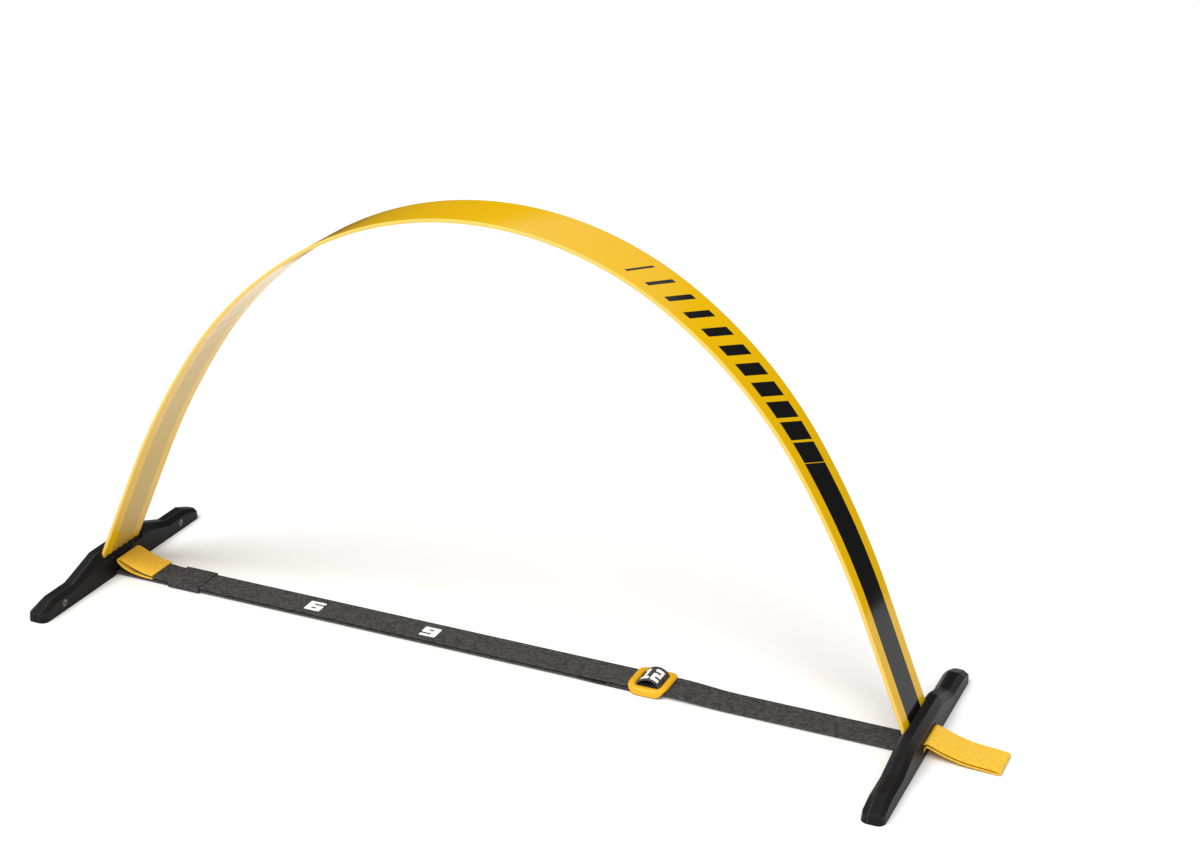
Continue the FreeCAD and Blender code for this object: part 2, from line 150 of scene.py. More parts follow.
# Slider buckle, the strap's hump in it and the mark on the hump
slider_rail = 0.005
slider_cheek = 0.0056
slider_clearance = 0.0002
slider_height = 0.0026
slider_crown = 0.0016
slider_chamfer = 0.0006
slider_cheek_drop = 0.001
slider_cheek_floor = 0.0006
slider_squareness = 6
slider_stations = 96
slider_crown_steps = 10
slider_bar_half = 0.003
slider_bar_low = 0.0012
slider_bar_high = 0.002
slider_rail_low = buckle_high.z - slider_height
slider_half_length = (buckle_high.x - buckle_low.x - slider_rail) / 2
slider_half_width = (buckle_high.y - buckle_low.y - slider_cheek) / 2
hump_half_length = 0.0082
hump_half_width = 0.0101
hump_roundness = 0.62
hump_steps = 24
slider_mark_width = 0.0066
slider_mark_height = 0.015
slider_mark_gap = 0.001

# Fingers of a pivot rod's moulding on the strip
finger_count = 6
finger_pitch = 0.007
finger_width = 0.0034
finger_length = 0.0075
finger_depth = 0.0012
finger_reach = 0.0022
finger_facets = (12, 8)

# Keeper
keeper_corner = 0.0008
keeper_columns = 40
keeper_seam_inset = 0.003
keeper_seam_depth = 0.0006
keeper_seam_width = 0.0007

# Stitches, rounded edges, and angles in degrees at which faces count as flat or an edge as sharp
stitch_share = 0.75
thread_radius = 0.00028
thread_facets = (8, 6)
rounding_steps = 2
rounding_angle = 14
flat_angle = 1
crease_angle = 40
cloth_crease_angle = 60

# Finishes: colour, gloss, limits of roughness and of shade, grain and blotches per metre, and depth of grain
Finish = namedtuple("Finish", "colour gloss roughness shades grain blotches depth")
finishes = {
    "printed_strip": Finish("strip", 0.07, (0.07, 0.15), (0.94, 1.06), 420, 9, 0.000006),
    "clear_strip": Finish("strip", 0.22, (0.1, 0.22), (0.94, 1.06), 420, 9, 0.000006),
    "foot_plastic": Finish("foot", 0.13, (0.38, 0.56), (0.85, 1.15), 1500, 28, 0.00003),
    "rod_plastic": Finish("foot", 0.2, (0.3, 0.42), (0.68, 0.92), 2200, 28, 0.00001),
    "buckle_plastic": Finish("buckle", 0.3, (0.2, 0.3), (0.85, 1.15), 900, 28, 0.000012),
    "black_steel": Finish("steel", 0.5, (0.3, 0.5), (0.6, 1.5), 3000, 400, 0.00001),
    "black_thread": Finish("black_webbing", 0.5, (0.5, 0.8), (0.56, 0.96), 900, 2500, 0),
    "yellow_thread": Finish("yellow_webbing", 0.5, (0.5, 0.8), (0.595, 1.02), 900, 2500, 0),
    "mark_paint": Finish("mark", 0.5, (0.5, 0.75), (0.88, 1.05), 1100, 160, 0.00006),
    "floor_finish": Finish("floor", 0, (0.6, 0.7), (0.995, 1.005), 300, 2, 0),
    "card_cloth": Finish("card", 0, (0.6, 0.7), (0.9, 1.1), 300, 4, 0),
}
noise_detail = 3
steel_metallic = 0.9
# Edges of moulded plastic painted lighter, partly as wear and partly as painted highlight: radius, gain and
# least share
wear_and_highlight_radius = 0.0007
wear_and_highlight_gain = 5
least_wear_and_highlight = 0.2

# Moulded finishes: colour painted on the edges, partly rubbed wear and partly painted highlight, and how much
# lighter it is
rubbed_and_highlit_edges = {
    "foot_plastic": ("foot_edge", 1),
    "rod_plastic": ("foot_edge", 1),
    "buckle_plastic": ("buckle", 1.15),
}

# Weaves: colour, pitch of the picks and of the yarns, stagger of the picks by column, unevenness, and shades
# from painted shade in the hollows to the crowns
Weave = namedtuple("Weave", "colour pick_pitch yarn_pitch stagger unevenness shades")
weaves = {
    "strap_cloth": Weave("black_webbing", 0.0019, 0.0013, 0.5, 0.75, (0.15, 1.65)),
    "tab_cloth": Weave("yellow_webbing", 0.0014, 0.0011, 0.04, 0.4, (0.74, 1.14)),
}
weave_depth = 0.00018
weave_roughness = (0.62, 0.85)
weave_gloss = 0.2
weave_sheen = 0.05
sheen_roughness = 0.5

# Height marks: places from the arch's middle, and a grid of cells that draws each figure
mark_places = {"6": -0.1307, "9": -0.0416}
mark_cells = {
    "1": ("##.", ".#.", ".#.", ".#.", "###"),
    "2": ("###", "..#", "###", "#..", "###"),
    "6": ("###", "#..", "###", "#.#", "###"),
    "9": ("###", "#.#", "###", "..#", "###"),
}
mark_column_shares = (0.36, 0.28, 0.36)
mark_row_shares = (0.23, 0.15, 0.24, 0.15, 0.23)
mark_corner = 0.0011
mark_corner_steps = 4
round_profile = 0.5
mark_ink = 0.00016
mark_slices = 18
mark_y = -0.001

# Camera: its place and aim, and the lens in pixels of the picture
picture_size = (1200, 850)
camera_place = (0.5463, -1.2466, 0.7097)
camera_azimuth = 26.453
camera_elevation = 23.641
lens_pixels = 2285.3
middle_pixel = (419.3, 499.9)
sensor_width = 36.0

# Studio
floor_size = 12.0
ambient_strength = 0.55
card_y = 0.55
card_width = 8.0
card_height = 0.53
light_aim = (0, 0, 0.1)
sun_place = (-0.45, -1.05, 1.9)
sun_spread = 40
sun_strength = 2.35
fill_place = (1.6, -2.4, 2.2)
fill_size = 1.6
fill_power = 25.0


# Settings that a user may change

length_digits = 5


def length_property(name, description, default):
    """Length that a user may change."""
    return bpy.props.FloatProperty(
        name=name, description=description, default=default, unit="LENGTH", precision=length_digits)


class HurdleSizes(bpy.types.PropertyGroup):
    """Sizes of the print, the seams and the softer forms."""

    band_half_width: length_property("Band half width", "Half the width of the printed band", 0.013)
    first_dash: length_property("First dash", "Length of strip from the top to the first dash", 0.1012)
    dash_pitch: length_property("Dash pitch", "Distance between the starts of the dashes", 0.01467)
    dash_length: length_property("Dash length", "Length of the first dash", 0.002)
    dash_growth: length_property("Dash growth", "How much longer each dash is than the one before", 0.00122)
    foot_edge: length_property("Foot edge", "Width of the rounding on the edges of the feet", 0.0006)
    hump_height: length_property("Hump height", "Rise of the strap over the buckle's bar", 0.0062)
    mark_width: length_property("Mark width", "Width of a height mark on the strap", 0.012)
    mark_height: length_property("Mark height", "Height of a height mark on the strap", 0.013)
    stitch_pitch: length_property("Stitch pitch", "Distance between stitches", 0.0024)


def colour_property(name, description, default):
    """Colour that a user may change."""
    return bpy.props.FloatVectorProperty(
        name=name, description=description, default=default, size=4, min=0, max=1, subtype="COLOR")


class HurdleColours(bpy.types.PropertyGroup):
    """Colours of the materials."""

    strip: colour_property("Strip", "Yellow of the strip", (0.745, 0.435, 0.002, 1))
    strip_edge: colour_property("Strip edge", "Light gathered in the strip's edges", (0.82, 0.53, 0.11, 1))
    ink: colour_property("Ink", "Printed band on the strip", (0.008, 0.008, 0.008, 1))
    shaded_ink: colour_property("Shaded ink", "The band seen through the strip", (0.52, 0.335, 0.035, 1))
    foot: colour_property("Foot", "Moulded feet", (0.006, 0.0057, 0.006, 1))
    # Foot edge colour: painted on the edges of the feet and rods, partly wear and partly painted highlight
    foot_edge: colour_property("Foot edge", "Rubbed edges of the feet", (0.075, 0.073, 0.075, 1))
    steel: colour_property("Steel", "Blackened screws and bar", (0.15, 0.15, 0.155, 1))
    black_webbing: colour_property("Black webbing", "Threads of the straps", (0.049, 0.0455, 0.0465, 1))
    yellow_webbing: colour_property("Yellow webbing", "Threads of the tabs", (0.9, 0.53, 0.035, 1))
    buckle: colour_property("Buckle", "Moulded slider", (0.74, 0.375, 0.006, 1))
    mark: colour_property("Marks", "White ink of the height marks", (0.88, 0.88, 0.88, 1))
    floor: colour_property("Floor", "Studio floor", (0.9, 0.9, 0.9, 1))
    card: colour_property("Card", "Dark card that the glossy faces reflect", (0.03, 0.03, 0.03, 1))


def sizes():
    """Sizes that a user may change."""
    return bpy.context.scene.hurdle_sizes


def colour(name, gain=1.0):
    """One of the colours that a user may change, made lighter or darker by a gain."""
    red, green, blue, alpha = getattr(bpy.context.scene.hurdle_colours, name)
    return (red * gain, green * gain, blue * gain, alpha)


# Shader nodes

def connect(tree, value, socket):
    """Links an output to a socket, or sets the socket's own value."""
    if isinstance(value, bpy.types.NodeSocket):
        tree.links.new(value, socket)
    else:
        socket.default_value = value


def set_sockets(tree, node, sockets):
    """Links or sets a node's sockets, which are named with an underscore for each space."""
    for name, value in sockets.items():
        connect(tree, value, node.inputs[name.replace("_", " ")])


def add_node(tree, kind, **sockets):
    """Node with values or links on its named sockets."""
    node = tree.nodes.new(kind)
    set_sockets(tree, node, sockets)
    return node


def calculate(tree, operation, *values, clamp=False):
    """Output of a math node."""
    node = tree.nodes.new("ShaderNodeMath")
    node.operation = operation
    node.use_clamp = clamp
    for value, socket in zip(values, node.inputs):
        connect(tree, value, socket)
    return node.outputs[0]


def mix_colours(tree, share, first, second):
    """Output of a mix of two colours."""
    node = tree.nodes.new("ShaderNodeMix")
    node.data_type = "RGBA"
    for name, value in (("Factor_Float", share), ("A_Color", first), ("B_Color", second)):
        socket = next(socket for socket in node.inputs if socket.identifier == name)
        connect(tree, value, socket)
    return next(socket for socket in node.outputs if socket.identifier == "Result_Color")


def point_value(tree, name):
    """Value that a mesh carries at its points."""
    node = tree.nodes.new("ShaderNodeAttribute")
    node.attribute_name = name
    return node.outputs["Fac"]


def new_group(name, inputs, outputs):
    """Empty shader group of float sockets, with its input and output sockets."""
    tree = bpy.data.node_groups.new(name, "ShaderNodeTree")
    for socket_name, default in inputs.items():
        socket = tree.interface.new_socket(socket_name, in_out="INPUT", socket_type="NodeSocketFloat")
        socket.default_value = default
    for socket_name in outputs:
        tree.interface.new_socket(socket_name, in_out="OUTPUT", socket_type="NodeSocketFloat")
    return tree, tree.nodes.new("NodeGroupInput").outputs, tree.nodes.new("NodeGroupOutput").inputs


def place_group(tree, builder, **sockets):
    """Outputs of a shader group, which is built the first time that it is placed."""
    name = builder.__name__
    node = tree.nodes.new("ShaderNodeGroup")
    node.node_tree = bpy.data.node_groups.get(name) or builder(name)
    set_sockets(tree, node, sockets)
    return node.outputs


def dash_band(name):
    """Mask of a printed band: slanted dashes that grow until they run together, on both halves."""
    inputs = {
        "Along": 0, "Across": 0, "First": 0, "Pitch": 1,
        "Length": 0, "Growth": 0, "Slant": 0, "Half width": 0,
    }
    tree, given, result = new_group(name, inputs, ["Mask"])
    side = calculate(tree, "SIGN", given["Along"])
    slanted = calculate(tree, "MULTIPLY", calculate(tree, "MULTIPLY", given["Across"], given["Slant"]), side)
    from_top = calculate(tree, "SUBTRACT", calculate(tree, "ABSOLUTE", given["Along"]), slanted)
    reach = calculate(tree, "SUBTRACT", from_top, given["First"])
    count = calculate(tree, "FLOOR", calculate(tree, "DIVIDE", reach, given["Pitch"]))
    local = calculate(tree, "SUBTRACT", reach, calculate(tree, "MULTIPLY", count, given["Pitch"]))
    length = calculate(tree, "MULTIPLY_ADD", count, given["Growth"], given["Length"])
    in_dash = calculate(tree, "LESS_THAN", local, length)
    started = calculate(tree, "GREATER_THAN", reach, 0)
    in_band = calculate(tree, "LESS_THAN", calculate(tree, "ABSOLUTE", given["Across"]), given["Half width"])
    printed = calculate(tree, "MULTIPLY", calculate(tree, "MULTIPLY", in_dash, started), in_band)
    connect(tree, printed, result["Mask"])
    return tree


def arched(tree, turns):
    """Value that rises to one and falls to zero again within each turn."""
    centred = calculate(tree, "MULTIPLY_ADD", calculate(tree, "FRACT", turns), 2, -1)
    return calculate(tree, "SUBTRACT", 1, calculate(tree, "MULTIPLY", centred, centred))


def webbing_weave(name):
    """Height and shade of webbing: columns of yarn, each a row of picks that are staggered by column; the
    shade is painted shade in the hollows between yarns and picks, with random unevenness per cell.
    """
    inputs = {"Along": 0, "Across": 0, "Pick pitch": 1, "Yarn pitch": 1, "Stagger": 0, "Unevenness": 0}
    tree, given, result = new_group(name, inputs, ["Height", "Shade"])
    yarn_turns = calculate(tree, "DIVIDE", given["Across"], given["Yarn pitch"])
    column = calculate(tree, "FLOOR", yarn_turns)
    pick_turns = calculate(tree, "DIVIDE", given["Along"], given["Pick pitch"])
    staggered = calculate(tree, "MULTIPLY_ADD", column, given["Stagger"], pick_turns)
    height = calculate(tree, "MULTIPLY", arched(tree, yarn_turns), arched(tree, staggered))
    connect(tree, height, result["Height"])
    cell = add_node(tree, "ShaderNodeCombineXYZ", X=column, Y=calculate(tree, "FLOOR", staggered))
    chance = add_node(tree, "ShaderNodeTexWhiteNoise", Vector=cell.outputs[0]).outputs["Value"]
    uneven = calculate(tree, "MULTIPLY", calculate(tree, "SUBTRACT", chance, 0.5), given["Unevenness"])
    connect(tree, calculate(tree, "ADD", height, uneven, clamp=True), result["Shade"])
    return tree


def surface_grain(name):
    """Fine moulded grain and broad blotches."""
    tree, given, result = new_group(name, {"Grain scale": 1, "Blotch scale": 1}, ["Grain", "Blotch"])
    place = tree.nodes.new("ShaderNodeTexCoord").outputs["Object"]
    for output, scale in (("Grain", "Grain scale"), ("Blotch", "Blotch scale")):
        noise = add_node(tree, "ShaderNodeTexNoise", Vector=place, Scale=given[scale], Detail=noise_detail)
        connect(tree, noise.outputs[0], result[output])
    return tree


def edge_wear_and_highlight(name):
    """Mask that is high where the surface turns within a small radius, where edges are painted lighter as
    wear and as painted highlight.
    """
    tree, given, result = new_group(name, {"Radius": 0, "Gain": 1}, ["Mask"])
    rounded = add_node(tree, "ShaderNodeBevel", Radius=given["Radius"]).outputs[0]
    plain = tree.nodes.new("ShaderNodeNewGeometry").outputs["Normal"]
    turn = tree.nodes.new("ShaderNodeVectorMath")
    turn.operation = "DOT_PRODUCT"
    connect(tree, rounded, turn.inputs[0])
    connect(tree, plain, turn.inputs[1])
    bent = calculate(tree, "SUBTRACT", 1, turn.outputs["Value"])
    connect(tree, calculate(tree, "MULTIPLY", bent, given["Gain"], clamp=True), result["Mask"])
    return tree


# Materials

def new_material(name, **plain):
    """Material, its node tree and its shader, with plain values on the shader's sockets."""
    material = bpy.data.materials.new(name)
    material.use_nodes = True
    tree = material.node_tree
    shader = tree.nodes["Principled BSDF"]
    set_sockets(tree, shader, plain)
    return material, tree, shader


def add_bump(tree, shader, height, depth):
    """Lets a height stand out of the surface by a depth."""
    node = add_node(tree, "ShaderNodeBump", Height=height, Distance=depth, Strength=1)
    connect(tree, node.outputs[0], shader.inputs["Normal"])


def roughness_from(tree, shader, value, limits):
    """Roughness that follows a value between two limits."""
    low, high = limits
    node = add_node(tree, "ShaderNodeMapRange", Value=value, To_Min=low, To_Max=high)
    connect(tree, node.outputs[0], shader.inputs["Roughness"])


def shade_from(tree, shader, value, colour_name, limits):
    """Base colour that follows a value between two shades of a colour."""
    dark, light = limits
    shaded = mix_colours(tree, value, colour(colour_name, dark), colour(colour_name, light))
    connect(tree, shaded, shader.inputs["Base Color"])


def paint_over(tree, mask, paint):
    """Lays another colour over a material's base colour where a mask is high."""
    socket = tree.nodes["Principled BSDF"].inputs["Base Color"]
    under = socket.links[0].from_socket
    connect(tree, mix_colours(tree, mask, under, paint), socket)


def grained(name, roughened_by="Grain", **plain):
    """Material with a grain, its colour mottled by blotches, and the outputs of the grain."""
    finish = finishes[name]
    material, tree, shader = new_material(name, Specular_IOR_Level=finish.gloss, **plain)
    grain = place_group(tree, surface_grain, Grain_scale=finish.grain, Blotch_scale=finish.blotches)
    shade_from(tree, shader, grain["Blotch"], finish.colour, finish.shades)
    roughness_from(tree, shader, grain[roughened_by], finish.roughness)
    if finish.depth > 0:
        add_bump(tree, shader, grain["Grain"], finish.depth)
    return material, grain


def band_mask(tree):
    """The printed band at a point of the strip."""
    return place_group(
        tree, dash_band, Along=point_value(tree, "along"), Across=point_value(tree, "across"),
        First=sizes().first_dash, Pitch=sizes().dash_pitch, Length=sizes().dash_length,
        Growth=sizes().dash_growth, Slant=dash_slant, Half_width=sizes().band_half_width)["Mask"]


def printed_strip(name):
    """Outer face of the strip: glossy yellow under a printed black band."""
    material = grained(name, "Blotch")[0]
    tree = material.node_tree
    paint_over(tree, band_mask(tree), colour("ink"))
    return material


def clear_strip(name):
    """Inner face and edges of the strip: the band shows through, and light gathers in the edges."""
    material = grained(name, "Blotch")[0]
    tree = material.node_tree
    paint_over(tree, band_mask(tree), colour("shaded_ink"))
    reach = calculate(tree, "ABSOLUTE", point_value(tree, "across"))
    edge = calculate(tree, "GREATER_THAN", reach, strip_half_width - strip_edge_radius)
    paint_over(tree, edge, colour("strip_edge"))
    return material


def moulded_plastic(name):
    """Moulded plastic whose edges are painted another colour, partly as rubbed wear and partly as painted
    highlight, most where its blotches are high.
    """
    material, grain = grained(name, "Blotch")
    tree = material.node_tree
    # Mask of the lighter edges: partly wear, partly painted highlight
    wear_and_highlight_mask = place_group(tree, edge_wear_and_highlight, Radius=wear_and_highlight_radius, Gain=wear_and_highlight_gain)["Mask"]
    uneven = calculate(tree, "ADD", grain["Blotch"], least_wear_and_highlight)
    worn_and_lit = calculate(tree, "MULTIPLY", wear_and_highlight_mask, uneven, clamp=True)
    paint_over(tree, worn_and_lit, colour(*rubbed_and_highlit_edges[name]))
    return material


def black_steel(name):
    """Blackened steel of the screws and the strap bar."""
    return grained(name, Metallic=steel_metallic)[0]


def webbing(name):
    """Woven webbing of one colour, with painted shade in the hollows of its weave."""
    weave = weaves[name]
    material, tree, shader = new_material(
        name, Sheen_Weight=weave_sheen, Sheen_Roughness=sheen_roughness, Specular_IOR_Level=weave_gloss)
    from_edge = calculate(tree, "ADD", point_value(tree, "across"), tab_half_width)
    woven = place_group(
        tree, webbing_weave, Along=point_value(tree, "along"), Across=from_edge, Pick_pitch=weave.pick_pitch,
        Yarn_pitch=weave.yarn_pitch, Stagger=weave.stagger, Unevenness=weave.unevenness)
    # Base colour darker in the weave's hollows: painted shade, with random unevenness per cell
    shade_from(tree, shader, woven["Shade"], weave.colour, weave.shades)
    roughness_from(tree, shader, woven["Shade"], weave_roughness)
    add_bump(tree, shader, woven["Height"], weave_depth)
    return material


def plain_finish(name):
    """Material with nothing but its grain: threads, marks and the studio's sheets."""
    return grained(name)[0]


makers = {
    "printed_strip": printed_strip, "clear_strip": clear_strip, "black_steel": black_steel,
    "foot_plastic": moulded_plastic, "rod_plastic": moulded_plastic, "buckle_plastic": moulded_plastic,
    "strap_cloth": webbing, "tab_cloth": webbing,
}


def material_of(name):
    """A material, made the first time that it is asked for."""
    return bpy.data.materials.get(name) or makers.get(name, plain_finish)(name)


# Meshes

def sweep_faces(ring_count, ring_size, closed):
    """Quads between rings of points, and end caps where the rings don't close on themselves."""
    faces = []
    spans = ring_count if closed else ring_count - 1
    for ring in range(spans):
        here = ring * ring_size
        there = (ring + 1) % ring_count * ring_size
        for point in range(ring_size):
            following = (point + 1) % ring_size
            faces.append((here + point, here + following, there + following, there + point))
    if not closed:
        faces.append(tuple(range(ring_size)))
        last = (ring_count - 1) * ring_size
        faces.append(tuple(range(last, last + ring_size)))
    return faces


def piece_from_shape(name, shape, *materials, sharp_angle=crease_angle):
    """Mesh object with smooth faces and its materials, made from a finished shape."""
    mesh = bpy.data.meshes.new(name)
    shape.to_mesh(mesh)
    shape.free()
    mesh.polygons.foreach_set("use_smooth", [True] * len(mesh.polygons))
    mesh.set_sharp_from_angle(angle=math.radians(sharp_angle))
    for material in materials:
        mesh.materials.append(material)
    piece = bpy.data.objects.new(name, mesh)
    bpy.context.scene.collection.objects.link(piece)
    return piece


def new_piece(name, points, faces, *materials, sharp_angle=crease_angle):
    """Mesh object made from points and faces, with outward normals."""
    shape = bmesh.new()
    corners = [shape.verts.new(point) for point in points]
    for face in faces:
        shape.faces.new([corners[index] for index in face])
    shape.normal_update()
    bmesh.ops.recalc_face_normals(shape, faces=shape.faces)
    return piece_from_shape(name, shape, *materials, sharp_angle=sharp_angle)


def set_point_values(piece, name, values):
    """Lets a mesh carry a value at its points."""
    layer = piece.data.attributes.new(name, "FLOAT", "POINT")
    layer.data.foreach_set("value", values)


def place_piece(piece, body, slot, *nodes):
    """Makes a piece move with a body and hides the CAD nodes that it stands for; the slot is not used."""
    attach(piece, body)
    if nodes:
        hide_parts(*nodes)
    return piece


def rounded_section(half_width, half_height, radius, columns):
    """Points round a flat section with rounded edges: across and up, with columns on its flat sides."""
    flat = half_width - radius
    straight = half_height - radius
    inner = flat - edge_margin
    row = [flat] + [inner * (1 - 2 * column / columns) for column in range(columns + 1)] + [-flat]
    top = [(place, half_height) for place in row]
    for level, first in ((straight, 1), (-straight, 0)):
        for step in range(first, corner_steps + first):
            turn = quarter_turn * (1 - first + step / corner_steps)
            top.append((-flat - radius * math.sin(turn), level + radius * math.cos(turn)))
    return top + [(-place, -height) for place, height in top]


def smooth_route(corners, reach):
    """Points along a route of X and Z whose corners are eased within a reach of each."""
    corners = [Vector((arch_x + x, 0, z)) for x, z in corners]
    route = [corners[0]]
    for before, corner, after in zip(corners, corners[1:], corners[2:]):
        run_in = (corner - before) / 2
        run_out = (after - corner) / 2
        start = corner - run_in.normalized() * min(reach, run_in.length)
        end = corner + run_out.normalized() * min(reach, run_out.length)
        fill_run(route, start)
        for index in range(1, fold_steps + 1):
            share = index / fold_steps
            route.append((start.lerp(corner, share)).lerp(corner.lerp(end, share), share))
    fill_run(route, corners[-1])
    return route


def fill_run(route, end):
    """Adds points on a straight run to its end."""
    start = route[-1]
    count = max(1, round((end - start).length / webbing_step))
    for index in range(1, count + 1):
        route.append(start.lerp(end, index / count))


def route_normals(route, axis, closed=False):
    """Directions square to a flat route and to the axis across it."""
    ends = (route[-1], route[0]) if closed else (route[0], route[-1])
    padded = [ends[0], *route, ends[1]]
    return [(after - before).cross(axis).normalized() for before, after in zip(padded, padded[2:])]


def route_lengths(route):
    """Lengths along a route from its start to each of its points."""
    lengths = [0]
    for before, after in zip(route, route[1:]):
        lengths.append(lengths[-1] + (after - before).length)
    return lengths


def band(name, route, axis, section, *materials, normals=None, lengths=None, closed=False):
    """Section swept along a route, which carries its lengths along and across as point values."""
    normals = normals or route_normals(route, axis, closed)
    lengths = lengths or route_lengths(route)
    points = []
    for place, normal in zip(route, normals):
        points += [place + axis * reach + normal * height for reach, height in section]
    faces = sweep_faces(len(route), len(section), closed)
    piece = new_piece(name, points, faces, *materials, sharp_angle=cloth_crease_angle)
    set_point_values(piece, "along", [length for length in lengths for corner in section])
    set_point_values(piece, "across", [reach for place in route for reach, height in section])
    return piece


def ribbon(name, corners, reach, half_width, material):
    """Flat webbing along a route of X and Z."""
    route = smooth_route(corners, reach)
    section = rounded_section(half_width, webbing_thickness / 2, webbing_edge, webbing_columns)
    return band(name, route, across_axis, section, material)


def join_parts(parts):
    """Points and faces of several shapes as one."""
    points = []
    faces = []
    for part_points, part_faces in parts:
        start = len(points)
        points += part_points
        faces += [tuple(start + index for index in face) for face in part_faces]
    return points, faces


def add_rounding(piece, width):
    """Rounds the sharp edges of a piece."""
    rounding = piece.modifiers.new("rounding", "BEVEL")
    rounding.width = width
    rounding.segments = rounding_steps
    rounding.limit_method = "ANGLE"
    rounding.angle_limit = math.radians(rounding_angle)
    rounding.harden_normals = True


def add_bead(shape, place, turn, half_sizes, facets):
    """Adds a bead to a shape, with half its size each way and its facets around and along it."""
    around, along = facets
    matrix = Matrix.Translation(place) @ turn @ Matrix.Diagonal((*half_sizes, 1))
    bmesh.ops.create_uvsphere(shape, u_segments=around, v_segments=along, radius=1, matrix=matrix)


def stitches(name, rows, material):
    """Rows of stitches, each row a start and an end; every stitch is a small lozenge of thread."""
    shape = bmesh.new()
    pitch = sizes().stitch_pitch
    half_sizes = (pitch * stitch_share / 2, thread_radius, thread_radius)
    for start, end in rows:
        run = end - start
        turn = along_axis.rotation_difference(run).to_matrix().to_4x4()
        count = max(1, round(run.length / pitch))
        for index in range(count):
            add_bead(shape, start + run * (index + 0.5) / count, turn, half_sizes, thread_facets)
    return piece_from_shape(name, shape, material)


# Strip

def arch_point(along):
    """Point on the strip's outer face and the way it faces; lengths from the top are negative on the left."""
    rest = abs(along)
    lean = 0
    reach = 0
    drop = 0
    for radius, degrees in strip_arcs:
        turn = min(math.radians(degrees), rest / radius)
        reach += radius * (math.sin(lean + turn) - math.sin(lean))
        drop += radius * (math.cos(lean) - math.cos(lean + turn))
        lean += turn
        rest -= radius * turn
    reach += rest * math.cos(lean)
    drop += rest * math.sin(lean)
    side = math.copysign(1, along)
    facing = Vector((side * math.sin(lean), 0, math.cos(lean)))
    return Vector((arch_x + side * reach, 0, crown_high.z - drop)), facing


def strip_end():
    """Length from the top to the strip's end in a pivot rod."""
    low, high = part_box("right_strip_leg")
    bent_length = sum(radius * math.radians(degrees) for radius, degrees in strip_arcs)
    face, facing = arch_point(bent_length)
    end_z = low.z + strip_thickness * facing.z
    return bent_length + (face.z - end_z) / facing.x


def strip_piece(name, start, stop):
    """Length of the strip, printed on its outer face and clear on the others."""
    half_thickness = strip_thickness / 2
    section = rounded_section(strip_half_width, half_thickness, strip_edge_radius, strip_columns)
    count = math.ceil((stop - start) / strip_step)
    lengths = [start + (stop - start) * index / count for index in range(count + 1)]
    route = []
    normals = []
    for length in lengths:
        face, facing = arch_point(length)
        normals.append(facing)
        route.append(face - facing * half_thickness)
    materials = (material_of("printed_strip"), material_of("clear_strip"))
    piece = band(name, route, across_axis, section, *materials, normals=normals, lengths=lengths)
    heights = [height for reach, height in section]
    for polygon in piece.data.polygons:
        column = polygon.index % len(section)
        following = (column + 1) % len(section)
        on_top = heights[column] == heights[following] == half_thickness
        polygon.material_index = 0 if on_top and len(polygon.vertices) == 4 else 1
    return piece


class HURDLE_OT_strip(bpy.types.Operator):
    """Builds the bent strip in four pieces, each of which spans one flexing place."""

    bl_idname = "hurdle.strip"
    bl_label = "Build strip"

    def execute(self, context):
        end = strip_end()
        lower = (bend_change, end, lower_bend_end)
        upper = (0, bend_change, bend_change)
        for side, sign in (("left", -1), ("right", 1)):
            self.build(f"{side}_arch_lower", sign, lower, f"{side}_shoulder", f"{side}_leg",
                       (f"{side}_strip_leg", f"{side}_strip_shoulder"))
            self.build(f"{side}_arch_upper", sign, upper, "crown", f"{side}_shoulder",
                       (f"{side}_strip_shoulder", "strip_crown"))
        return {"FINISHED"}

    def build(self, name, sign, lengths, first_body, second_body, nodes):
        start, stop, bend_end = lengths
        piece = strip_piece(name, *sorted((sign * start, sign * stop)))
        bend_start_point = arch_point(sign * start)[0]
        bend_end_point = arch_point(sign * bend_end)[0]
        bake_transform(piece)
        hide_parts(*nodes)


# Feet and hardware

def rod_fingers(side, sign):
    """Row of small moulded fingers that grip the strip's inner face just above a pivot rod."""
    face, facing = arch_point(sign * (strip_end() - finger_reach))
    turn = up.rotation_difference(facing).to_matrix().to_4x4()
    half_sizes = (finger_length / 2, finger_width / 2, finger_depth)
    shape = bmesh.new()
    for index in range(finger_count):
        y = (index - (finger_count - 1) / 2) * finger_pitch
        place = face - facing * strip_thickness + across_axis * y
        add_bead(shape, place, turn, half_sizes, finger_facets)
    fingers = piece_from_shape(f"{side}_rod_fingers", shape, material_of("rod_plastic"))
    return place_piece(fingers, f"{side}_leg", "rod")


def rounded_copy(node, body):
    """Piece in the shape of a CAD node, with rounded edges, that stands for the node."""
    source = frame["nodes"][node]
    shape = bmesh.new()
    shape.from_mesh(source.data)
    shape.transform(source.matrix_world)
    bmesh.ops.remove_doubles(shape, verts=shape.verts, dist=weld_distance)
    bmesh.ops.dissolve_limit(
        shape, angle_limit=math.radians(flat_angle), verts=shape.verts, edges=shape.edges)
    piece = piece_from_shape(f"{node}_shell", shape, material_of("foot_plastic"), sharp_angle=rounding_angle)
    add_rounding(piece, sizes().foot_edge)
    return place_piece(piece, body, "foot", node)


class HURDLE_OT_feet(bpy.types.Operator):
    """Gives the two feet their rounded edges and moulded finish."""

    bl_idname = "hurdle.feet"
    bl_label = "Build feet"

    def execute(self, context):
        for body in ("left_foot", "right_foot"):
            rounded_copy(f"{body}_body", body)
            rounded_copy(f"{body}_cover", body)
        return {"FINISHED"}


